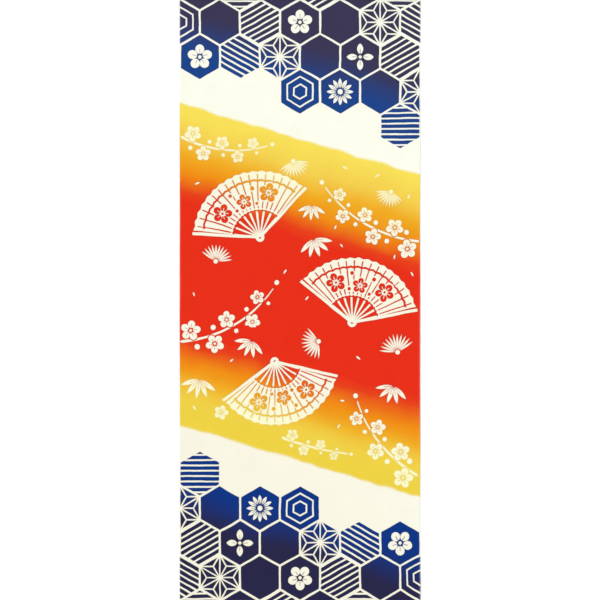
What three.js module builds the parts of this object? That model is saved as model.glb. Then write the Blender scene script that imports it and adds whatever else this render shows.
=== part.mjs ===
// A tenugui: one length of narrow plain-weave cotton, lying flat and face up.
// Millimetres, +Z up. X runs across the cloth from selvedge to selvedge and Y along its length.
// The origin is on the surface it lies on, under the middle of the cloth.
import * as THREE from "three";

// Driving dimensions
const clothWidth = 360; // selvedge to selvedge
const clothLength = 900; // cut end to cut end
const clothThickness = 1; // the woven ground
const selvedgeWidth = 4; // the firmer band along each long side
const selvedgeThickness = 1.3;

// How far the outline wanders inwards, and how many times along each side
const selvedgeWander = { depth: 0.4, wavesLeft: 3, wavesRight: 4 };
const cutWander = { depth: 0.5, wavesNear: 2, wavesFar: 3 };

// Soft rises where the cloth doesn't quite touch the surface: centre, half sizes and height
const rises = [
  { place: "far left corner", x: -180, y: 450, across: 70, along: 80, height: 1.2 },
  { place: "far right corner", x: 180, y: 450, across: 55, along: 65, height: 0.7 },
  { place: "near left corner", x: -180, y: -450, across: 50, along: 60, height: 0.6 },
  { place: "near right corner", x: 180, y: -450, across: 75, along: 90, height: 1.4 },
  { place: "left selvedge, far half", x: -180, y: 130, across: 48, along: 110, height: 0.9 },
  { place: "left selvedge, near half", x: -180, y: -215, across: 40, along: 85, height: 0.6 },
  { place: "right selvedge, near half", x: 180, y: -120, across: 44, along: 125, height: 0.8 },
  { place: "right selvedge, far half", x: 180, y: 235, across: 38, along: 90, height: 0.5 },
];

// How finely the faces are divided
const stepsAcross = 18;
const stepsAlong = 60;
const stepsRound = 5; // around each selvedge's rounded edge

const halfWidth = clothWidth / 2;
const halfLength = clothLength / 2;
const edgeRadius = selvedgeThickness / 2;

// The cloth cut across its width: a flat underside, a thin ground and a rounded, thicker selvedge at each side.
function clothSection() {
  const flatHalf = halfWidth - edgeRadius;
  const groundHalf = halfWidth - selvedgeWidth;
  const section = new THREE.Shape();
  section.moveTo(-flatHalf, 0);
  for (let i = 0; i <= stepsAcross; i++) {
    section.lineTo(-groundHalf + (2 * groundHalf * i) / stepsAcross, 0);
  }
  section.lineTo(flatHalf, 0);
  section.absarc(flatHalf, edgeRadius, edgeRadius, -Math.PI / 2, Math.PI / 2, false);
  for (let i = 0; i <= stepsAcross; i++) {
    section.lineTo(groundHalf - (2 * groundHalf * i) / stepsAcross, clothThickness);
  }
  section.lineTo(-flatHalf, selvedgeThickness);
  section.absarc(-flatHalf, edgeRadius, edgeRadius, Math.PI / 2, (3 * Math.PI) / 2, false);
  return section;
}

// A wave that runs from 0 in the middle of a side to 1 and back, the given number of times over its span.
function wave(along, span, waves) {
  return 0.5 - 0.5 * Math.cos((2 * Math.PI * waves * along) / span);
}

// How high the cloth stands off the surface at a point: the rises there, each a smooth mound with a flat foot.
function liftAt(x, y) {
  let lift = 0;
  for (const rise of rises) {
    const reach = 1 - ((x - rise.x) / rise.across) ** 2 - ((y - rise.y) / rise.along) ** 2;
    if (reach > 0) lift += rise.height * reach ** 2;
  }
  return lift;
}

// Lays the straight length down: its selvedges and cut ends wander a little and parts of its rim stand off the surface.
function layDown(geometry) {
  const points = geometry.getAttribute("position");
  for (let i = 0; i < points.count; i++) {
    const x = points.getX(i);
    const y = points.getY(i);
    const selvedgeWaves = x < 0 ? selvedgeWander.wavesLeft : selvedgeWander.wavesRight;
    const cutWaves = y < 0 ? cutWander.wavesNear : cutWander.wavesFar;
    const narrowing = 1 - (selvedgeWander.depth * wave(y, clothLength, selvedgeWaves)) / halfWidth;
    const shortening = 1 - (cutWander.depth * wave(x, clothWidth, cutWaves)) / halfLength;
    points.setXYZ(i, x * narrowing, y * shortening, points.getZ(i) + liftAt(x, y));
  }
  geometry.computeVertexNormals();
}

function makeTowel() {
  const geometry = new THREE.ExtrudeGeometry(clothSection(), {
    depth: clothLength,
    steps: stepsAlong,
    curveSegments: stepsRound,
    bevelEnabled: false,
  });
  geometry.rotateX(Math.PI / 2); // the section stands up and the length runs along Y
  geometry.translate(0, halfLength, 0);
  layDown(geometry);
  const cotton = new THREE.MeshStandardMaterial({ color: 0xfdfeee, roughness: 0.9, metalness: 0 });
  const towel = new THREE.Mesh(geometry, cotton);
  towel.name = "towel";
  return towel;
}

const tenugui = new THREE.Group();
tenugui.add(makeTowel());

export default tenugui;
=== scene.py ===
# A tenugui lying flat: one length of plain-weave cotton, dyed through stencils, seen from straight above.
# Shapes are in metres. The stencil is drawn in millimetres from the cloth's middle, x across and y along.
import bpy
import numpy as np
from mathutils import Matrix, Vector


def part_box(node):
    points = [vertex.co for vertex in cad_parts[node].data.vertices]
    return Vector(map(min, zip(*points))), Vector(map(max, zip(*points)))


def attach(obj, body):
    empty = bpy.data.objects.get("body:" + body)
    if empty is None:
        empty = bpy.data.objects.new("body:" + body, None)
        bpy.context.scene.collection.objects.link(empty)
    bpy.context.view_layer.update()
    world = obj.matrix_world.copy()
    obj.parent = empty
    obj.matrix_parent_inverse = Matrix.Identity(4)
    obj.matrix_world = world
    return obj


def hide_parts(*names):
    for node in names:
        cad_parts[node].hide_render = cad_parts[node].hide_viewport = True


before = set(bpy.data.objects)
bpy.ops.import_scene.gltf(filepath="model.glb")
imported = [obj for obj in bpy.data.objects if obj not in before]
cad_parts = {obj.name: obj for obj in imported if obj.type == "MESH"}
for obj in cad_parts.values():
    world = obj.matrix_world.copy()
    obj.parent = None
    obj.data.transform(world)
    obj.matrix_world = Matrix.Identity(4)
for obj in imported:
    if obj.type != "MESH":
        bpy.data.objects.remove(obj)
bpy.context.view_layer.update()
clothLow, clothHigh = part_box("towel")
scene = bpy.context.scene
mm = 0.001
rng = np.random.default_rng(36)


# The cloth

cloth = {
    "ground": 0.45 * mm,        # thickness of the weave
    "selvedge": 0.75 * mm,      # thickness of the firmer band at each long side
    "selvedgeBand": 4 * mm,
    "selvedgeRise": 1 * mm,     # how far in the ground thickens to it
    "roundSteps": 3,            # from the top of a selvedge to its rim
    "cells": (132, 332),        # across and along
    "selvedgeWander": {"depth": 0.4 * mm, "left": 3, "right": 4},   # waves of each side's outline
    "cutWander": {"depth": 0.5 * mm, "near": 2, "far": 3},
    # faint unevenness all over: its waves turn this many radians a metre across and along, from a phase
    "ripple": {"height": 0.10 * mm, "waves": [(61, 23, 0), (-48, 37, 1.3), (0, 83, 2.1)]},
    # of the selvedges; the gathers lie uneven by some radians, which come and go slowly along the cloth
    "pucker": {"height": 0.35 * mm, "reach": 9 * mm, "every": 31 * mm, "uneven": 2.2, "slowly": 9.0},
    # where the rim stands off the floor: x, y, half sizes across and along, height, all in mm
    "rises": [
        (-180, 450, 70, 80, 1.2),
        (180, 450, 55, 65, 0.7),
        (-180, -450, 50, 60, 0.6),
        (180, -450, 75, 90, 1.4),
        (-180, 130, 48, 110, 0.9),
        (-180, -215, 40, 85, 0.6),
        (180, -120, 44, 125, 0.8),
        (180, 235, 38, 90, 0.5),
    ],
}
halfWidth = (clothHigh.x - clothLow.x) / 2
halfLength = (clothHigh.y - clothLow.y) / 2


# 0 in the middle of a side, up to 1 and back the given number of times over its span
def wander(along, span, waves):
    return 0.5 - 0.5 * np.cos(2 * np.pi * waves * along / span)


# Where a point of the straight cloth lies: its outline draws in along slow cosines, and its height is the
# sum of mounds (1 - ellipse)^2 at the rim, crossed sines all over and a sine along the selvedges that dies
# off inwards
def layDown(x, y):
    sides, ends = cloth["selvedgeWander"], cloth["cutWander"]
    inSide = wander(y, 2 * halfLength, np.where(x < 0, sides["left"], sides["right"]))
    inEnd = wander(x, 2 * halfWidth, np.where(y < 0, ends["near"], ends["far"]))
    lift = np.zeros(np.broadcast(x, y).shape)
    for middleX, middleY, across, along, height in cloth["rises"]:
        reach = 1 - ((x / mm - middleX) / across) ** 2 - ((y / mm - middleY) / along) ** 2
        lift = lift + height * mm * np.maximum(reach, 0) ** 2
    ripple, pucker = cloth["ripple"], cloth["pucker"]
    waves = len(ripple["waves"])
    crossed = sum(np.sin(across * x + along * y + phase) for across, along, phase in ripple["waves"])
    lift = lift + ripple["height"] * (waves + crossed) / (2 * waves)
    gathers = 2 * np.pi * y / pucker["every"] + pucker["uneven"] * np.sin(pucker["slowly"] * y + np.sign(x))
    fromSide = halfWidth - np.abs(x)
    lift = lift + pucker["height"] * np.exp(-fromSide / pucker["reach"]) * (0.5 + 0.5 * np.sin(gathers))
    placeX = x * (1 - sides["depth"] * inSide / halfWidth)
    placeY = y * (1 - ends["depth"] * inEnd / halfLength)
    return placeX, placeY, lift


# Quads between neighbouring rows and columns of a grid of point numbers
def gridQuads(index):
    return np.stack([index[:-1, :-1], index[:-1, 1:], index[1:, 1:], index[1:, :-1]], -1).reshape(-1, 4)


# An object at the origin, with its place in its mesh
def newPiece(name, points, faces):
    mesh = bpy.data.meshes.new(name)
    mesh.from_pydata(points.reshape(-1, 3).tolist(), [], faces)
    mesh.shade_smooth()
    piece = bpy.data.objects.new(name, mesh)
    scene.collection.objects.link(piece)
    return piece


# The cloth is two heights over one grid of x and y: its underside lies on the floor, and its top is the
# thickness above it, which grows at the selvedge and rounds off as a half circle to an edge that they share
def makeCloth():
    across, along = cloth["cells"]
    bead = cloth["selvedge"] / 2
    roundOff = bead * (1 - np.cos(np.linspace(0, np.pi / 2, cloth["roundSteps"] + 1)[:-1]))
    inner = np.linspace(-halfWidth + bead, halfWidth - bead, across + 1)
    x = np.concatenate([-halfWidth + roundOff, inner, halfWidth - roundOff[::-1]])[None, :]
    y = np.linspace(-halfLength, halfLength, along + 1)[:, None]
    fromSide = halfWidth - np.abs(x)
    half = np.sqrt(np.maximum(bead ** 2 - np.maximum(bead - fromSide, 0) ** 2, 0))
    firm = np.clip((cloth["selvedgeBand"] - fromSide) / cloth["selvedgeRise"] + 0.5, 0, 1)
    thick = cloth["ground"] + (cloth["selvedge"] - cloth["ground"]) * firm
    placeX, placeY, lift = layDown(x, y)
    under = lift + np.where(fromSide < bead, bead - half, 0)
    over = lift + np.where(fromSide < bead, bead + half, thick)
    top = np.stack(np.broadcast_arrays(placeX, placeY, over), -1)
    bottom = np.stack(np.broadcast_arrays(placeX, placeY, under), -1)[:, 1:-1]
    rows, columns = top.shape[:2]
    topIndex = np.arange(rows * columns).reshape(rows, columns)
    bottomIndex = topIndex.copy()
    bottomIndex[:, 1:-1] = rows * columns + np.arange(rows * (columns - 2)).reshape(rows, columns - 2)
    faces = gridQuads(topIndex).tolist() + gridQuads(bottomIndex)[:, ::-1].tolist()
    for row, turn in ((0, 1), (-1, -1)):    # the two cut ends
        t, b = topIndex[row], bottomIndex[row]
        walls = np.stack([t[1:-2], b[1:-2], b[2:-1], t[2:-1]], -1)
        tips = np.array([(t[0], b[1], t[1]), (t[-2], b[-2], t[-1])])
        faces += walls[:, ::turn].tolist() + tips[:, ::turn].tolist()
    return newPiece("tenugui_cloth", np.concatenate([top.reshape(-1, 3), bottom.reshape(-1, 3)]), faces)


# Yarn ends and loops

cutFringe = {
    "every": 0.56 * mm,
    "margin": 1 * mm,                   # left free at the selvedges
    "jitter": 0.15 * mm,
    "out": (0.5 * mm, 2.2 * mm),        # shortest and longest
    "spread": (1.6, 3.0),               # of the lengths, a beta curve with more short ones than long
    "inset": 0.5 * mm,                  # how far they start inside the cut
    "sway": 0.55 * mm,                  # sideways at the tip of a long one
    "curl": 0.12 * mm,
    "curlTurn": 5,                      # radians from root to tip
    "sink": 0.4,                        # share of their height that the tips lose
    "radius": 0.17 * mm,
    "thickness": (0.8, 1.1),            # thinnest and thickest, as shares of the radius
    "taper": (1, 1, 1, 0.95, 0.85, 0.55),
    "sides": 5,
}
selvedgeLoops = {
    "every": 1.24 * mm,
    "margin": 1.5 * mm,                 # left free at the cuts
    "jitter": 0.12 * mm,
    "out": 0.24 * mm,
    "uneven": (0.6, 1.4),               # least and most, as shares of it
    "inset": 0.1 * mm,
    "radius": 0.15 * mm,
    "bow": 0.75 * np.pi,                # how far round a loop goes from its outermost point, each way
    "steps": 8,
    "sides": 5,
}


# Closed tubes along many paths at once: each ring is the path's point plus the radius times
# cos and sin of an angle on two axes, with across x up pointing along the path
def makeTubes(name, paths, across, up, radii, sides):
    turn = np.linspace(0, 2 * np.pi, sides, endpoint=False)
    ring = np.cos(turn)[:, None] * across[..., None, :] + np.sin(turn)[:, None] * up[..., None, :]
    points = paths[..., None, :] + radii[..., None, None] * ring
    count, steps = paths.shape[:2]
    index = np.arange(count * steps * sides).reshape(count, steps, sides)
    nextOne = np.roll(index, -1, axis=2)
    walls = np.stack([index[:, :-1], nextOne[:, :-1], nextOne[:, 1:], index[:, 1:]], -1).reshape(-1, 4)
    ends = np.concatenate([index[:, 0, ::-1], index[:, -1]])
    return newPiece(name, points, walls.tolist() + ends.tolist())


# Warp ends that stand out of both cuts: straight out, swaying with the square of the way, curling as a
# growing sine and sinking to the floor
def makeFringe():
    shortest, longest = cutFringe["out"]
    margin, jitter = cutFringe["margin"], cutFringe["jitter"]
    x = np.arange(-halfWidth + margin, halfWidth - margin, cutFringe["every"])
    each = (2, len(x), 1)       # near end, far end
    end = np.array([-1, 1]).reshape(2, 1, 1)
    way = np.linspace(0, 1, len(cutFringe["taper"]))
    out = shortest + (longest - shortest) * rng.beta(*cutFringe["spread"], each)
    sway = cutFringe["sway"] * rng.normal(0, 1, each) * out / longest
    curlTurn = rng.uniform(0, 2 * np.pi, each) + cutFringe["curlTurn"] * way
    rootX, rootY, lift = layDown(x[:, None] + rng.uniform(-jitter, jitter, each), end * halfLength)
    pathX = rootX + sway * way ** 2 + cutFringe["curl"] * way * np.sin(curlTurn)
    pathY = rootY + end * ((out + cutFringe["inset"]) * way - cutFringe["inset"])
    sunk = 1 - cutFringe["sink"] * way
    pathZ = lift + cloth["ground"] / 2 * sunk + cutFringe["curl"] * way * np.cos(curlTurn)
    paths = np.stack([pathX, pathY, np.maximum(pathZ, cutFringe["radius"])], -1)
    side = np.broadcast_to([1.0, 0, 0], paths.shape)
    rise = np.broadcast_to([0, 0, 1.0], paths.shape)
    far = np.broadcast_to(end[..., None] > 0, paths.shape)
    across, up = np.where(far, rise, side), np.where(far, side, rise)
    radii = cutFringe["radius"] * rng.uniform(*cutFringe["thickness"], each) * np.array(cutFringe["taper"])
    flat = (-1, len(way), 3)
    return makeTubes("cut_end_yarns", paths.reshape(flat), across.reshape(flat), up.reshape(flat),
                     radii.reshape(-1, len(way)), cutFringe["sides"])


# The weft's turns along both selvedges: three quarters of an ellipse that leaves the edge and comes back
def makeLoops():
    margin, jitter, bow = selvedgeLoops["margin"], selvedgeLoops["jitter"], selvedgeLoops["bow"]
    y = np.arange(-halfLength + margin, halfLength - margin, selvedgeLoops["every"])
    y = y[:, None] + rng.uniform(-jitter, jitter, (2, len(y), 1))
    side = np.array([-1, 1]).reshape(2, 1, 1)
    turn = np.linspace(-bow, bow, selvedgeLoops["steps"])
    out = selvedgeLoops["out"] * rng.uniform(*selvedgeLoops["uneven"], y.shape)
    reach = selvedgeLoops["every"] / 4
    edgeX, edgeY, lift = layDown(side * halfWidth, y)
    pathX = edgeX + side * (out * np.cos(turn) - selvedgeLoops["inset"])
    pathY = edgeY + reach * np.sin(turn)
    pathZ = lift + cloth["selvedge"] / 2 + 0 * turn
    paths = np.stack([pathX, pathY, pathZ], -1).reshape(-1, len(turn), 3)
    tangentX, tangentY = -side * out * np.sin(turn), reach * np.cos(turn)
    tangent = np.stack(np.broadcast_arrays(tangentX, tangentY, 0 * out), -1)
    tangent /= np.linalg.norm(tangent, axis=-1, keepdims=True)
    up = np.broadcast_to([0, 0, 1.0], paths.shape)
    across = np.cross(up, tangent.reshape(paths.shape))
    radii = np.full(paths.shape[:2], selvedgeLoops["radius"])
    return makeTubes("selvedge_loops", paths, across, up, radii, selvedgeLoops["sides"])


# The stencil, charted and placed one by one: hexagons at both ends, with fans, plum, pine and bamboo between

slant = 0.3     # how far the warm band climbs for each millimetre across

honeycomb = {
    "pitch": 60,        # flat to flat, mm
    "slant": 0.4,       # hexagons are dyed if their middles lie beyond a line that climbs this much
    "starts": 300,      # and crosses the cloth's middle here, mm from its centre
    "line": 1.55,       # half the width of the cream lines between hexagons, mm
    "leafLine": 1.05,   # and of those that fill them
    "nestLine": 1.15,
    "nests": (9.5, 19.5),
    "hatchLine": 1.25,
    "hatchEvery": 8,
    # far end, rows from the cut inwards, left to right; the near end is the same chart turned round
    # o plain, a hemp leaf, n nested, / - \ hatched, p plum, c chrysanthemum, f four petals, . not dyed
    "chart": {9: "o-o/o-", 8: "no/poa\\", 7: "p\\aof/", 6: "...ncoa", 5: ".....-"},
    "fills": {"a": 1, "n": 2, "/": 3, "-": 3, "\\": 3},
    "hatchTurn": {"/": 120, "-": 90, "\\": 60},
    "flowers": {"p": ("plum", 19), "c": ("chrysanthemum", 20), "f": ("four", 20)},
}

# Each motif is a ring or spread of petals: how many, degrees apart, then as shares of the motif's size where
# a petal starts, how long and wide it is and the eye, and half the width of the veins in mm, or -1 for none
petalKinds = {
    "plum": (5, 72, 0.24, 0.74, 0.70, 0.13, 0.4),
    "chrysanthemum": (12, 30, 0.30, 0.70, 0.26, 0.19, 0.4),
    "four": (4, 90, 0.20, 0.80, 0.46, 0.12, 0.4),
    "bamboo": (5, 31, 0.10, 0.95, 0.23, 0, 0.35),
    "pine": (11, 14, 0.16, 0.84, 0.10, 0.13, -1),
    "petal": (1, 90, 0, 1, 0.34, 0, -1),
    "bud": (1, 90, -0.9, 1.8, 1.7, 0, -1),
}
veinStarts = 0.3        # share of the way to a petal's middle

# A fan with sticks of 100, which each fan below scales
fanDrawing = {
    "half": np.radians(62),     # from the middle stick to a guard
    "pleats": 16,
    "rim": 100,
    "foot": 41,                 # where the leaf starts
    "zigzag": (4, 3),           # depth of the folds at the rim and at the foot
    "foldLine": 0.95,           # half width
    "foldStops": (5, 3),        # how far the fold lines end inside the rim and the foot
    "band": (86, 1.6),          # a line along the rim: distance from the pivot and half width
    "bandStops": 3,             # how far it ends inside the leaf's sides
    "stick": (0.9, 0.016),      # half width at the pivot, and growth
    "stickStops": 2,            # how far the sticks end inside the foot
    "guard": 2.2,               # half width
    "guardLean": 0.05,          # radians past the leaf's sides
    "guardPast": 1,             # how far the guards reach past the rim
    "guardSide": 0.6,           # radians past the leaf's sides, where nothing is a guard any more
    "hub": (4.6, 2.3),          # radius of the ring's middle, and half width
    "clear": 1.8,               # around the blossoms on the leaf
}
# pivot x and y, heading of the middle stick in degrees clockwise from +y, length of the sticks, mm
fans = [
    (-60, 94, -22, 100),
    (78, -34, 14, 98),
    (-38, -92, 168, 96),
]
# on each leaf, in the ground's colour: distance from the pivot, degrees from the middle stick, size, kind
fanBlossoms = [
    (66, -36, 15, "plum"),
    (58, -2, 12, "plum"),
    (68, 33, 15, "plum"),
    (76, -14, 3.2, "bud"),
    (74, 13, 3.6, "bud"),
    (52, -19, 3.0, "bud"),
    (51, 17, 2.8, "bud"),
]

# start x and y, heading there, length, total bend in degrees, blossoms, size of the first blossom, mm
sprays = [
    (-177, 244, 118, 132, -44, 5, 13),
    (177, 88, -84, 165, 48, 6, 15),
    (-178, -62, 86, 165, -52, 5, 16),
    (175, -262, -60, 145, 42, 5, 16),
    (-26, -206, 111, 100, -14, 4, 9.5),
]
twigWidth = {"root": 1.9, "tip": 0.9, "clear": 1.5}     # half widths, and the gap around blossoms, mm
sprayHabit = {
    "ends": (0.55, 0.85),       # steps from the root to the first blossom and from the last to the tip
    "shrinks": 0.38,            # share of their size that blossoms lose towards the tip
    "off": 0.95,                # distance from the twig, as a share of a blossom's size
    "turns": 40,                # degrees from one blossom to the next
    # across from each blossom: degrees off the twig, and shares of the blossom's size
    "bud": {"turn": 62, "off": 0.82, "size": 0.3},
    # past the tip: shares of the twig's length and of the first blossom's size
    "tipBud": {"at": 1.06, "size": 0.26},
}

# x, y, heading, size in mm, kind
singles = [
    (20, 92, 160, 27, "bamboo"),
    (-126, 58, 15, 25, "pine"),
    (-72, -60, 205, 25, "bamboo"),
    (28, -62, 250, 26, "pine"),
    (146, -78, -15, 27, "pine"),
    (140, -128, 200, 26, "bamboo"),
    (-150, -118, 190, 28, "bamboo"),
    (-10, 208, 165, 24, "pine"),
    (136, 162, 200, 22, "pine"),
    (18, 142, 185, 22, "bamboo"),
    (-118, -168, 20, 11, "plum"),
    (142, 68, 190, 7, "petal"),
    (60, 84, 140, 7, "petal"),
    (-20, 46, 215, 8, "petal"),
    (-160, 12, 160, 7, "petal"),
    (-100, -88, 230, 7, "petal"),
    (84, -84, 130, 8, "petal"),
    (60, -186, 215, 7, "petal"),
    (-160, -158, 150, 7, "petal"),
    (64, 200, 120, 8, "petal"),
    (112, 184, 60, 8, "petal"),
    (164, 158, 200, 7, "petal"),
    (-150, 176, 250, 8, "petal"),
    (54, 112, 200, 7, "petal"),
    (60, -150, 100, 7, "petal"),
    (8, 0, 40, 7, "petal"),
    (166, 42, 150, 7, "petal"),
]


# Point and heading (x, y, degrees) at a share of the way along a bent twig, an arc of steady curvature
def alongTwig(spray, share):
    x, y, heading, length, bend = spray[:5]
    start, turn = np.radians(heading), np.radians(bend)
    radius = length / turn
    now = start + turn * share
    nowX = x + radius * (np.cos(start) - np.cos(now))
    nowY = y + radius * (np.sin(now) - np.sin(start))
    return nowX, nowY, np.degrees(now)


# A point some way off from another, in a direction in degrees clockwise from +y
def stepFrom(x, y, heading, away):
    return x + away * np.sin(np.radians(heading)), y + away * np.cos(np.radians(heading))


# Blossoms sit to either side of a twig by turns and shrink towards its tip, each with a bud across from it
def sprayMotifs(spray):
    count, size = spray[5:]
    before, after = sprayHabit["ends"]
    bud, tipBud = sprayHabit["bud"], sprayHabit["tipBud"]
    motifs = []
    for i in range(count):
        share = (i + before) / (count - 1 + before + after)
        x, y, heading = alongTwig(spray, share)
        side = 1 if i % 2 else -1
        bloom = size * (1 - sprayHabit["shrinks"] * share)
        middle = stepFrom(x, y, heading + 90 * side, sprayHabit["off"] * bloom)
        motifs.append((*middle, heading + sprayHabit["turns"] * i, bloom, "plum"))
        budHeading = heading - bud["turn"] * side
        middle = stepFrom(x, y, budHeading, bud["off"] * bloom)
        motifs.append((*middle, budHeading, bud["size"] * bloom, "bud"))
    motifs.append((*alongTwig(spray, tipBud["at"]), tipBud["size"] * size, "bud"))
    return motifs


# Centres and marks of the charted hexagons at both ends
def hexagons():
    pitch = honeycomb["pitch"]
    found = []
    for row, marks in honeycomb["chart"].items():
        for column, mark in enumerate(marks):
            x = (column - (len(marks) - 1) / 2) * pitch
            y = row * pitch * np.sqrt(3) / 2
            found += [((x, y), mark), ((-x, -y), mark)]
    return found


# Every ring or spread of petals on the cloth: x, y, heading, size and kind
def allMotifs():
    motifs = list(singles)
    for spray in sprays:
        motifs += sprayMotifs(spray)
    for x, y, heading, sticks in fans:
        for away, turn, size, kind in fanBlossoms:
            middle = stepFrom(x, y, heading + turn, away * sticks / fanDrawing["rim"])
            motifs.append((*middle, heading + turn, size, kind))
    for (x, y), mark in hexagons():
        if mark in honeycomb["flowers"]:
            kind, size = honeycomb["flowers"][mark]
            motifs.append((x, y, 180 if y < 0 else 0, size, kind))
    return motifs


# Three numbers for each face or corner of a mesh, for the materials to read
def setAttribute(mesh, name, domain, values):
    layer = mesh.attributes.new(name, "FLOAT_VECTOR", domain)
    layer.data.foreach_set("vector", values.astype(np.float32).ravel())


# Middles of the faces and places of their corners, in mm over the cloth, and each corner's face
def meshPlaces(mesh):
    middle = np.empty(len(mesh.polygons) * 3, np.float32)
    mesh.polygons.foreach_get("center", middle)
    corners = np.empty(len(mesh.polygons), np.int32)
    mesh.polygons.foreach_get("loop_total", corners)
    vertex = np.empty(len(mesh.loops), np.int32)
    mesh.loops.foreach_get("vertex_index", vertex)
    points = np.empty(len(mesh.vertices) * 3, np.float32)
    mesh.vertices.foreach_get("co", points)
    place = points.reshape(-1, 3)[vertex, :2] / mm
    return middle.reshape(-1, 3)[:, :2] / mm, place, np.repeat(np.arange(len(corners)), corners)


# Which of many round motifs is nearest to each face: the least distance to a centre, less the motif's size
def nearest(middle, centres, sizes):
    away = np.linalg.norm(middle[:, None] - np.float32(centres), axis=2)
    return (away - np.float32(sizes)).argmin(1)


# Places in motifs' own frames: v along a motif's heading, and u to the right of it
def localPlace(place, origin, heading):
    turn = np.radians(heading)
    offX, offY = (place - origin).T
    return offX * np.cos(turn) - offY * np.sin(turn), offX * np.sin(turn) + offY * np.cos(turn)


# Each face gets the fill, hatching angle and middle of its hexagon
def placeHexagons(mesh, middle):
    centres, marks = zip(*hexagons())
    fill = [honeycomb["fills"].get(mark, 0) for mark in marks]
    turn = np.radians([honeycomb["hatchTurn"].get(mark, 0) for mark in marks])
    chart = np.column_stack([fill, turn, np.array(centres)[:, 0]])
    setAttribute(mesh, "hexagon", "FACE", chart[nearest(middle, centres, 0)])


# Each corner gets its place on the nearest fan, in the drawing's own measure, and the fan's scale
def placeFans(mesh, middle, place, face):
    x, y, heading, sticks = np.array(fans, float).T
    pivot = np.column_stack([x, y])
    leaf = np.column_stack(stepFrom(x, y, heading, sticks / 2))
    which = nearest(middle, leaf, sticks / 2)[face]
    u, v = localPlace(place, pivot[which], heading[which])
    scale = sticks[which] / fanDrawing["rim"]
    setAttribute(mesh, "fan", "CORNER", np.column_stack([u / scale, v / scale, scale]))


# Each corner gets its place on the nearest motif, and each face the shape of that motif's petals: a petal is
# the overlap of two circles, whose radius comes from half the petal's length and width
def placeMotifs(mesh, middle, place, face, motifs):
    x, y, heading, size = np.array([motif[:4] for motif in motifs], float).T
    kinds = np.array([petalKinds[motif[4]] for motif in motifs], float)
    petals, apart, start, long, wide, eye, vein = kinds.T
    origin = np.column_stack([x, y])
    which = nearest(middle, origin, size)
    u, v = localPlace(place, origin[which][face], heading[which][face])
    halfLong, halfWide = long * size / 2, wide * size / 2
    curve = (halfLong ** 2 + halfWide ** 2) / (2 * halfWide)
    spread = np.column_stack([np.radians(apart), petals // 2, start * size + halfLong])
    petal = np.column_stack([curve, halfWide, eye * size])
    setAttribute(mesh, "motif", "CORNER", np.column_stack([u, v, vein[which][face]]))
    setAttribute(mesh, "spread", "FACE", spread[which])
    setAttribute(mesh, "petal", "FACE", petal[which])


# Each corner gets its distance to the arc of the twig nearest to its face, and the twig's half width there,
# which tapers and goes below 0 past both ends
def placeTwigs(mesh, place, face):
    best = np.full(len(face), np.inf)
    twig = np.zeros((len(face), 3))
    corners = np.bincount(face)
    for spray in sprays:
        x, y, start, length, bend = spray[:5]
        radius = length / np.radians(bend)
        off = place - stepFrom(x, y, start + 90, radius)
        gap = (np.linalg.norm(off, axis=1) - abs(radius)) * np.sign(bend)
        facing = np.degrees(np.arctan2(off[:, 1] * np.sign(bend), -off[:, 0] * np.sign(bend)))
        share = ((facing - start + 180) % 360 - 180) / bend
        beyond = np.maximum(np.maximum(-share, share - 1), 0) * length
        half = twigWidth["root"] + (twigWidth["tip"] - twigWidth["root"]) * np.clip(share, 0, 1) - beyond
        middleGap = (np.bincount(face, np.abs(gap) - half) / corners)[face]
        closer = middleGap < best
        best = np.where(closer, middleGap, best)
        twig = np.where(closer[:, None], np.column_stack([gap, half, 0 * gap]), twig)
    setAttribute(mesh, "twig", "CORNER", twig)


# Writes every motif's own millimetres into a piece's mesh, so that the dye is drawn sharp at any distance
def placeStencil(piece, motifs):
    middle, place, face = meshPlaces(piece.data)
    placeHexagons(piece.data, middle)
    placeFans(piece.data, middle, place, face)
    placeMotifs(piece.data, middle, place, face, motifs)
    placeTwigs(piece.data, place, face)


# Dyes and cotton

lightLevel = 1.06       # what the lights give a white surface
veil = 0.005            # what the cotton's own sheen adds to every colour
dyes = {                # as they look in even light, 0 to 255
    "cotton": (254, 254, 239),
    # a little darker and yellower cotton, towards the near left corner
    "nearLeftCotton": (249, 246, 226),
    "creamInRed": (250, 248, 227),
    "creamInYellow": (254, 252, 209),
    "farBlue": (31, 69, 139),
    "farDark": (60, 56, 85),
    "nearBlue": (15, 54, 133),
    "nearDark": (42, 40, 73),
    "lemon": (249, 226, 89),
    "yellow": (245, 209, 80),
    "gold": (239, 211, 68),
    "amber": (242, 173, 36),
    "orange": (241, 144, 22),
    "tangerine": (237, 112, 26),
    "vermilion": (233, 66, 28),
    "red": (233, 48, 26),
}
warmBand = {
    # how far from the cloth's middle each dye is brushed in, mm
    "dyes": [
        (90, "red"),
        (106, "vermilion"),
        (121, "tangerine"),
        (136, "orange"),
        (165, "amber"),
        (196, "yellow"),
        (232, "lemon"),
    ],
    "uneven": 46,       # how far the brush wanders, mm
    "brush": 9.0,       # wanderings a metre
    "deeper": 10,       # how much further the strong dyes reach at the near end
    "ends": 238,        # where the yellow stops
    "soft": 6,          # and how far it fades there
    "endWander": 10,    # of that line
    "edge": (0.35, 0.90),       # softness of the stencil's edge, and more of it in the yellow, mm
    "yellows": (120, 210),      # where the edges get softer
    "golds": (150, 225),        # where the near half's yellow deepens
}
blueEnds = {"edge": 0.35, "darkens": (320, 390)}        # softness, and mm from the cloth's middle
nearToFar = (-100, 100)         # where the near half's dyes turn into the far half's, mm along
# the undyed cotton turns a little darker and yellower towards the near left corner
nearLeftTone = {"across": 0.9, "starts": 250, "ends": -500}    # yellower cotton towards the near left corner
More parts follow.
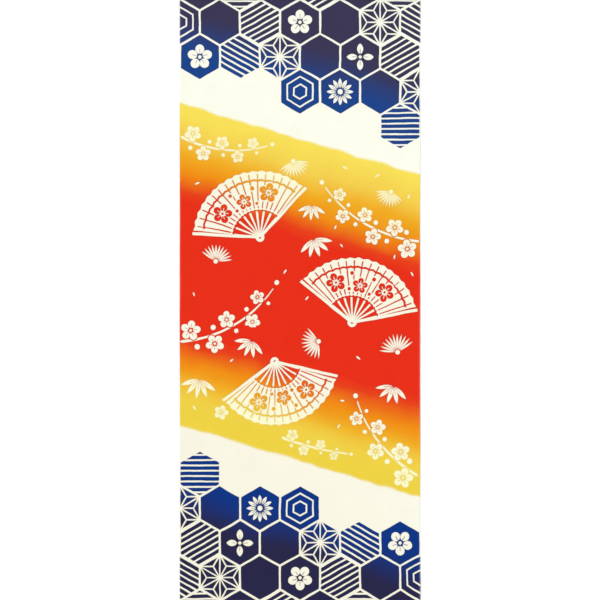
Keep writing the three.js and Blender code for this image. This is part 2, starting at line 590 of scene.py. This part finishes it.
handCut = {             # the stencil's edges, mm
    "wander": 3.0,      # of whole shapes
    "wanders": 26.0,    # times a metre
    "onPetals": 0.4,    # share of the wander that small shapes take
    "onTwigs": 0.5,
    "creep": 0.9,       # of the dye under the edges
    "fine": 0.5,
    "fineGrain": 420.0,
    "alongYarns": 0.5,  # further in where yarns lie low
    "yarnLevel": 0.6,
}
pooledDye = {           # dye gathers against the stencil's edges
    "reach": 1.9,       # mm
    "share": 0.26,
    "inYellow": 0.2,    # how much of that is left in the yellow
}
thinDye = {             # share of the dye that is lost at the selvedges
    "reach": 3.0,       # how far in, mm
    "least": 0.01,
    "most": 0.12,
    "patches": 7.0,     # a metre
    "patchEdge": (0.4, 0.65),
}
weave = {
    "warp": 0.56,       # from yarn to yarn, mm
    "weft": 0.62,
    "depth": 0.12 * mm,
    "bump": 0.8,
    "slack": (60.0, 0.5),           # how the yarns wander: times a metre, and in yarns
    "slubs": (1500.0, 0.02),        # thick places: times a metre across a yarn, and stretch along it
    "thickness": (0.7, 0.6),        # of the thinnest places, and more in the thickest
    # painted shade and light: the colour is darker between the yarns and lighter on their tops
    "paintedYarnShade": (0.90, 0.15),          # between the yarns, and more on top of them
    "rough": (0.95, -0.10),
    "cloudy": (34.0, 0.06),         # times a metre, and share
    "looseGrain": 900.0,            # on the loose yarns, which have no weave
    "specular": 0.12,
    "sheen": (0.06, 0.5),           # weight and roughness
}


# A dye's colour for the shader: from 0 to 255 as seen to linear, less the sheen and the light's own level
def dye(name):
    seen = np.array(dyes[name]) / 255
    linear = np.where(seen <= 0.04045, seen / 12.92, ((seen + 0.055) / 1.055) ** 2.4)
    return (*((linear - veil) / lightLevel), 1.0)


# A socket in an expression: arithmetic on it adds Math nodes, and make() adds any other node
class Sock:
    def __init__(self, tree, socket=None):
        self.tree = tree
        self.socket = socket

    def make(self, kind, settings=None, inputs=None, out=0):
        node = self.tree.nodes.new(kind)
        for name, value in (settings or {}).items():
            if name == "stops":
                elements = node.color_ramp.elements
                while len(elements) < len(value):
                    elements.new(1)
                for element, (spot, color) in zip(elements, value):
                    element.position = spot
                    element.color = color
            else:
                setattr(node, name, value)
        for key, value in (inputs or {}).items():
            if isinstance(value, Sock):
                self.tree.links.new(value.socket, node.inputs[key])
            else:
                node.inputs[key].default_value = value
        return Sock(self.tree, node.outputs[out])

    def math(self, operation, *values):
        return self.make("ShaderNodeMath", {"operation": operation}, dict(enumerate(values)))

    def __add__(self, other):
        return self.math("ADD", self, other)

    def __radd__(self, other):
        return self.math("ADD", other, self)

    def __sub__(self, other):
        return self.math("SUBTRACT", self, other)

    def __rsub__(self, other):
        return self.math("SUBTRACT", other, self)

    def __mul__(self, other):
        return self.math("MULTIPLY", self, other)

    def __rmul__(self, other):
        return self.math("MULTIPLY", other, self)

    def __truediv__(self, other):
        return self.math("DIVIDE", self, other)

    def __rtruediv__(self, other):
        return self.math("DIVIDE", other, self)

    def __neg__(self):
        return self.math("MULTIPLY", self, -1)

    def __abs__(self):
        return self.math("ABSOLUTE", self)

    def __lt__(self, other):
        return self.math("LESS_THAN", self, other)

    def __gt__(self, other):
        return self.math("GREATER_THAN", self, other)

    def least(self, other):
        return self.math("MINIMUM", self, other)

    def most(self, other):
        return self.math("MAXIMUM", self, other)

    def root(self):
        return self.math("SQRT", self)

    def sin(self):
        return self.math("SINE", self)

    def cos(self):
        return self.math("COSINE", self)

    def floor(self):
        return self.math("FLOOR", self)

    def wrap(self, half):       # into -half..half
        return self.math("WRAP", self, half, -half)

    def between(self, zero, one):       # a soft step from zero to one
        return self.make("ShaderNodeMapRange", {"interpolation_type": "SMOOTHSTEP"},
                         {"Value": self, "From Min": zero, "From Max": one})

    def pick(self, yes, no):        # yes where this is 1, no where it is 0
        return no + (yes - no) * self

    def mix(self, base, top):       # colours, by this factor
        return self.make("ShaderNodeMix", {"data_type": "RGBA"}, {0: self, 6: base, 7: top}, 2)

    def times(self, other):         # vectors
        return self.make("ShaderNodeVectorMath", {"operation": "MULTIPLY"}, {0: self, 1: other})

    def scaled(self, value):        # a colour, darker or lighter by this value
        return self.make("ShaderNodeVectorMath", {"operation": "SCALE"}, {0: self, "Scale": value})

    def split(self):
        first = self.make("ShaderNodeSeparateXYZ", None, {0: self})
        return [Sock(self.tree, socket) for socket in first.socket.node.outputs]

    def attribute(self, name):
        return self.make("ShaderNodeAttribute", {"attribute_name": name}, None, "Vector").split()

    def noise(self, scale, detail=2.0, out=0):      # at this place; out 1 is a colour
        return self.make("ShaderNodeTexNoise", None, {"Vector": self, "Scale": scale, "Detail": detail}, out)


# The honeycomb: the nearer of two lattices gives the place in a hexagon, folded into a twelfth of it (along
# its apothem and across), where outline and fill are distances to a few straight lines, below 0 on cream.
# A hexagon is dyed where its middle lies beyond the slanting line
def honeycombShape(x, y):
    pitch = honeycomb["pitch"]
    row = pitch * np.sqrt(3) / 2
    apothem = pitch / 2
    half, tall = 0.5, np.sqrt(3) / 2        # cos and sin of 60 degrees
    evenX, evenY = x.wrap(apothem), y.wrap(row)
    oddX, oddY = (x - apothem).wrap(apothem), (y - row).wrap(row)
    even = evenX * evenX + evenY * evenY < oddX * oddX + oddY * oddY
    u, v = even.pick(evenX, oddX), even.pick(evenY, oddY)
    middleX, middleY = x - u, y - v
    dyed = abs(middleY + honeycomb["slant"] * middleX) > honeycomb["starts"]
    flatAlong, flatAcross = abs(u), abs(v)
    tiltAlong = flatAlong * half + flatAcross * tall
    tiltAcross = abs(flatAcross * half - flatAlong * tall)
    across = (tiltAlong > flatAlong).pick(tiltAcross, flatAcross)
    along = tiltAlong.most(flatAlong)
    outline = apothem - along - honeycomb["line"]
    third = apothem * 2 / 3
    spoke = along * half - across * tall
    ray = (along < third).pick(across, abs((along - third) * tall - across * half))
    hempLeaf = spoke.least(ray) - honeycomb["leafLine"]
    inner, outer = honeycomb["nests"]
    nested = abs(abs(along - (inner + outer) / 2) - (outer - inner) / 2) - honeycomb["nestLine"]
    fill, hatchTurn, ownX = x.attribute("hexagon")
    acrossHatch = u * hatchTurn.cos() + v * hatchTurn.sin() + honeycomb["hatchEvery"] / 2
    hatch = abs(acrossHatch.wrap(honeycomb["hatchEvery"] / 2)) - honeycomb["hatchLine"]
    kind = fill * (abs(middleX - ownX) < apothem / 2)       # plain where a face reaches past its hexagon
    filled = (abs(kind - honeycomb["fills"]["a"]) < 0.5).pick(hempLeaf, apothem)
    filled = (abs(kind - honeycomb["fills"]["n"]) < 0.5).pick(nested, filled)
    filled = (abs(kind - honeycomb["fills"]["-"]) < 0.5).pick(hatch, filled)
    return outline.least(filled), dyed


# A fan by reach and turn from its pivot: pleats fold the rim, a line runs down each fold and one along the
# rim, both broken off around the blossoms on the leaf, and the sticks below meet at the pivot. Below 0 is
# cream; the second shape is the whole leaf
def fanShape(u, v, petals):
    half, rim, foot = fanDrawing["half"], fanDrawing["rim"], fanDrawing["foot"]
    pleat = 2 * half / fanDrawing["pleats"]
    rimFold, footFold = fanDrawing["zigzag"]
    bandAt, bandHalf = fanDrawing["band"]
    stickHalf, stickGrowth = fanDrawing["stick"]
    hubAt, hubHalf = fanDrawing["hub"]
    stopRim, stopFoot = fanDrawing["foldStops"]
    reach = (u * u + v * v).root()
    turn = reach.math("ARCTAN2", u, v)
    fold = abs((turn / pleat).wrap(0.5))
    pastSide = (abs(turn) - half) * reach
    leaf = (reach - rim + fold * rimFold).most(foot - reach + fold * footFold).most(pastSide)
    foldLine = (0.5 - fold) * pleat * reach - fanDrawing["foldLine"]
    foldLine = foldLine.most(reach - rim + stopRim).most(foot + stopFoot - reach)
    band = (abs(reach - bandAt + fold * footFold) - bandHalf).most(pastSide + fanDrawing["bandStops"])
    lines = foldLine.least(band).most(fanDrawing["clear"] - petals)
    cutLeaf = leaf.most(-lines.least(petals))
    stick = abs((turn / (2 * pleat)).wrap(0.5)) * (2 * pleat) * reach - stickHalf - reach * stickGrowth
    sticks = stick.most(reach - foot + fanDrawing["stickStops"]).most(pastSide).most(hubAt + hubHalf - reach)
    guard = abs(reach * (abs(turn) - half - fanDrawing["guardLean"]).sin()) - fanDrawing["guard"]
    guard = guard.most(reach - rim - fanDrawing["guardPast"])
    guards = guard.most(pastSide - reach * fanDrawing["guardSide"])
    hub = abs(reach - hubAt) - hubHalf
    return cutLeaf.least(sticks).least(guards).least(hub), leaf


# A ring or spread of petals: the turn is folded to the nearest petal, which is the overlap of two circles,
# with an eye in the middle and a fine vein or stamen down each petal. Below 0 is cream
def petalShape(u, v, veinHalf):
    apart, last, centre = u.attribute("spread")
    curve, halfWide, eye = u.attribute("petal")
    reach = (u * u + v * v).root()
    turn = reach.math("ARCTAN2", u, v)
    away = turn - (turn / apart + 0.5).floor().most(-last).least(last) * apart
    along, across = reach * away.cos(), abs(reach * away.sin())
    off = along - centre
    inset = across + curve - halfWide
    petal = (off * off + inset * inset).root() - curve
    vein = (across - veinHalf).most(off).most(centre * veinStarts - along)
    return petal.most(-vein).least(reach - eye)


# The dyed colour all over: cream cotton, a warm band graded along the cloth, blue honeycombs at the ends and
# cream where the stencil held the dye back. The stencil's edges wander with the hand and creep along yarns
def dyedColour(place, height):
    driftX, driftY, driftZ = (part - 0.5 for part in place.noise(handCut["wanders"], 2.0, 1).split())
    spotX, spotY = (part / mm for part in place.split()[:2])
    shiftX, shiftY = driftX * handCut["wander"], driftY * handCut["wander"]
    x, y = spotX + shiftX, spotY + shiftY
    fine = place.noise(handCut["fineGrain"], 1.0) - 0.5
    low = height - handCut["yarnLevel"]
    creep = fine * handCut["fine"] + driftZ * handCut["creep"] + low * handCut["alongYarns"]

    # undyed cotton
    # darker, yellower cotton towards the near left corner; the same share lets the strong dyes reach further
    # at the near end
    towardNearLeft = (spotX * nearLeftTone["across"] + spotY).between(nearLeftTone["starts"], nearLeftTone["ends"])
    cotton = towardNearLeft.mix(dye("cotton"), dye("nearLeftCotton"))
    far = spotY.between(*nearToFar)

    # warm band
    climb = abs(y + slant * x)
    brushed = climb + (place.noise(warmBand["brush"], 3.0) - 0.5) * warmBand["uneven"]
    last = warmBand["dyes"][-1][0]
    graded = (brushed - towardNearLeft * warmBand["deeper"]) / last
    stops = [(spot / last, dye(name)) for spot, name in warmBand["dyes"]]
    warm = graded.make("ShaderNodeValToRGB", {"stops": stops}, {0: graded})
    warm = (climb.between(*warmBand["golds"]) * (1 - far)).mix(warm, dye("gold"))
    bandEnd = climb + driftX * warmBand["endWander"]
    inBand = bandEnd.between(warmBand["ends"] + warmBand["soft"], warmBand["ends"])
    yellows = inBand * climb.between(*warmBand["yellows"])

    # honeycomb ends
    outline, dyed = honeycombShape(x, y)
    lines = outline + creep
    bright, dark = far.mix(dye("nearBlue"), dye("farBlue")), far.mix(dye("nearDark"), dye("farDark"))
    blue = brushed.between(*blueEnds["darkens"]).mix(bright, dark)
    inEnds = dyed * lines.between(-blueEnds["edge"], blueEnds["edge"])

    # what the stencil kept cream
    motifU, motifV, vein = place.attribute("motif")
    petals = petalShape(motifU + shiftX * handCut["onPetals"], motifV + shiftY * handCut["onPetals"], vein)
    fanU, fanV, fanScale = place.attribute("fan")
    fan, leaf = fanShape(fanU + shiftX, fanV + shiftY, petals)
    gap, twigHalf = place.attribute("twig")[:2]
    twigs = (abs(gap + shiftX * handCut["onTwigs"]) - twigHalf).most(twigWidth["clear"] - petals)
    sprayed = petals.least(twigs).most(-leaf)
    shapes = (fan * fanScale).least(sprayed) + creep
    edge = warmBand["edge"][0] + warmBand["edge"][1] * yellows
    kept = shapes.between(edge, -edge)
    stained = inBand.mix(cotton, yellows.mix(dye("creamInRed"), dye("creamInYellow")))

    # dye thins at the selvedges, more in some places, and gathers around what was kept cream
    patches = place.noise(thinDye["patches"]).between(*thinDye["patchEdge"])
    thin = thinDye["least"] + (thinDye["most"] - thinDye["least"]) * patches
    hold = 1 - thin * (halfWidth / mm - abs(spotX)).between(thinDye["reach"], 0)
    redness = 1 - yellows * (1 - pooledDye["inYellow"])
    pooledWarm = 1 - pooledDye["share"] * redness * shapes.between(pooledDye["reach"], 0)
    pooledBlue = 1 - pooledDye["share"] * shapes.least(lines).between(pooledDye["reach"], 0)
    ground = (inBand * hold).mix(cotton, warm.scaled(pooledWarm))
    ground = (inEnds * hold).mix(ground, blue.scaled(pooledBlue))
    return kept.mix(ground, stained)


# Height of a plain weave: each yarn is a half sine across, thicker in places, and dips as a sine under every
# other one that it meets
def weaveHeight(place):
    x, y = place.split()[:2]
    wanders, yarns = weave["slack"]
    slubs, stretch = weave["slubs"]
    thin, more = weave["thickness"]
    slack = (place.noise(wanders, 1.0) - 0.5) * yarns
    across, along = x / (weave["warp"] * mm) + slack, y / (weave["weft"] * mm) + slack
    warpThick = thin + more * place.times((1, stretch, 1)).noise(slubs, 1.0)
    weftThick = thin + more * place.times((stretch, 1, 1)).noise(slubs, 1.0)
    warpRound, weftRound = abs((across * np.pi).sin()), abs((along * np.pi).sin())
    warpOver = 0.5 + 0.5 * ((along + across.floor()) * np.pi).sin()
    weftOver = 0.5 - 0.5 * ((across + along.floor()) * np.pi).sin()
    return (warpRound * warpOver * warpThick).most(weftRound * weftOver * weftThick)


# Cotton: the dyed colour with painted shade between the yarns and painted light on their tops, a little
# cloudy, on a matt surface that yarns raise
def makeCotton(name, woven):
    material = bpy.data.materials.new(name)
    material.use_nodes = True
    tree = material.node_tree
    surface = tree.nodes["Principled BSDF"]
    place = Sock(tree).make("ShaderNodeTexCoord", None, None, "Object")
    height = weaveHeight(place) if woven else place.noise(weave["looseGrain"])
    clouds, cloudShare = weave["cloudy"]
    cloudy = 1 + (place.noise(clouds, 3.0) - 0.5) * cloudShare
    # painted shade between the yarns and painted light on their tops, times a random cloudy tone
    paintedYarnShade = (weave["paintedYarnShade"][0] + weave["paintedYarnShade"][1] * height) * cloudy
    color = dyedColour(place, height).scaled(paintedYarnShade)
    rough = weave["rough"][0] + weave["rough"][1] * height
    raised = {"Height": height, "Strength": weave["bump"], "Distance": weave["depth"]}
    bump = height.make("ShaderNodeBump", None, raised)
    tree.links.new(color.socket, surface.inputs["Base Color"])
    tree.links.new(rough.socket, surface.inputs["Roughness"])
    tree.links.new(bump.socket, surface.inputs["Normal"])
    surface.inputs["Specular IOR Level"].default_value = weave["specular"]
    surface.inputs["Sheen Weight"].default_value = weave["sheen"][0]
    surface.inputs["Sheen Roughness"].default_value = weave["sheen"][1]
    return material


# Putting the towel together

towel = makeCloth()
fringe = makeFringe()
loops = makeLoops()
print("cloth:", len(towel.data.polygons), "faces; yarn ends:", len(fringe.data.polygons),
      "faces; loops:", len(loops.data.polygons), "faces")
stencilMotifs = allMotifs()
for piece in (towel, fringe, loops):
    placeStencil(piece, stencilMotifs)
    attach(piece, "root")
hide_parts("towel")
print("stencil:", len(stencilMotifs), "motifs,", len(fans), "fans,", len(sprays), "sprays")
wovenCotton = makeCotton("dyed_cotton_weave", True)
yarnCotton = makeCotton("dyed_cotton_yarn", False)
towel.data.materials.append(wovenCotton)
fringe.data.materials.append(yarnCotton)
loops.data.materials.append(yarnCotton)
print("cotton:", len(wovenCotton.node_tree.nodes), "nodes")


# Studio

studio = {
    "floor": 12,                    # metres from side to side
    "floorDrop": 0.3 * mm,          # below the cloth
    "floorWhite": (0.95, 0.95, 0.95, 1),
    "floorRough": 0.9,
    "floorSpecular": 0.1,
    "world": 0.73,
    "sun": 1.38,
    "sunTilt": (0.42, -0.30, 0),
    "sunSpread": 0.9,
}
view = {"lens": 100, "sensor": 36, "tall": 0.898}      # the frame ends 1 mm inside both cuts


# A flat grid of a few cells, a hair below the cloth
def makeFloor():
    reach = np.linspace(-studio["floor"] / 2, studio["floor"] / 2, 5)
    x, y = np.meshgrid(reach, reach)
    points = np.stack([x, y, 0 * x - studio["floorDrop"]], -1)
    floor = newPiece("floor", points, gridQuads(np.arange(x.size).reshape(x.shape)).tolist())
    paint = bpy.data.materials.new("white_floor")
    paint.use_nodes = True
    coat = paint.node_tree.nodes["Principled BSDF"]
    coat.inputs["Base Color"].default_value = studio["floorWhite"]
    coat.inputs["Roughness"].default_value = studio["floorRough"]
    coat.inputs["Specular IOR Level"].default_value = studio["floorSpecular"]
    floor.data.materials.append(paint)
    return floor


# Even white light from all round, and a broad sun a little to one side
def makeLights():
    world = bpy.data.worlds.new("even_white")
    world.use_nodes = True
    world.node_tree.nodes["Background"].inputs["Color"].default_value = (1, 1, 1, 1)
    world.node_tree.nodes["Background"].inputs["Strength"].default_value = studio["world"]
    scene.world = world
    sun = bpy.data.objects.new("soft_sun", bpy.data.lights.new("soft_sun", "SUN"))
    sun.data.energy = studio["sun"]
    sun.data.angle = studio["sunSpread"]
    sun.rotation_euler = studio["sunTilt"]
    scene.collection.objects.link(sun)


# Straight above the middle: the frame's length times lens over sensor is the height that shows it
def makeCamera():
    camera = bpy.data.objects.new("camera", bpy.data.cameras.new("camera"))
    camera.data.lens = view["lens"]
    camera.data.sensor_width = view["sensor"]
    camera.location = (0, 0, view["tall"] * view["lens"] / view["sensor"] + cloth["ground"])
    scene.collection.objects.link(camera)
    scene.camera = camera


floor = makeFloor()
makeLights()
makeCamera()
scene.view_settings.view_transform = "Standard"
print("studio: floor, sun and camera are set")
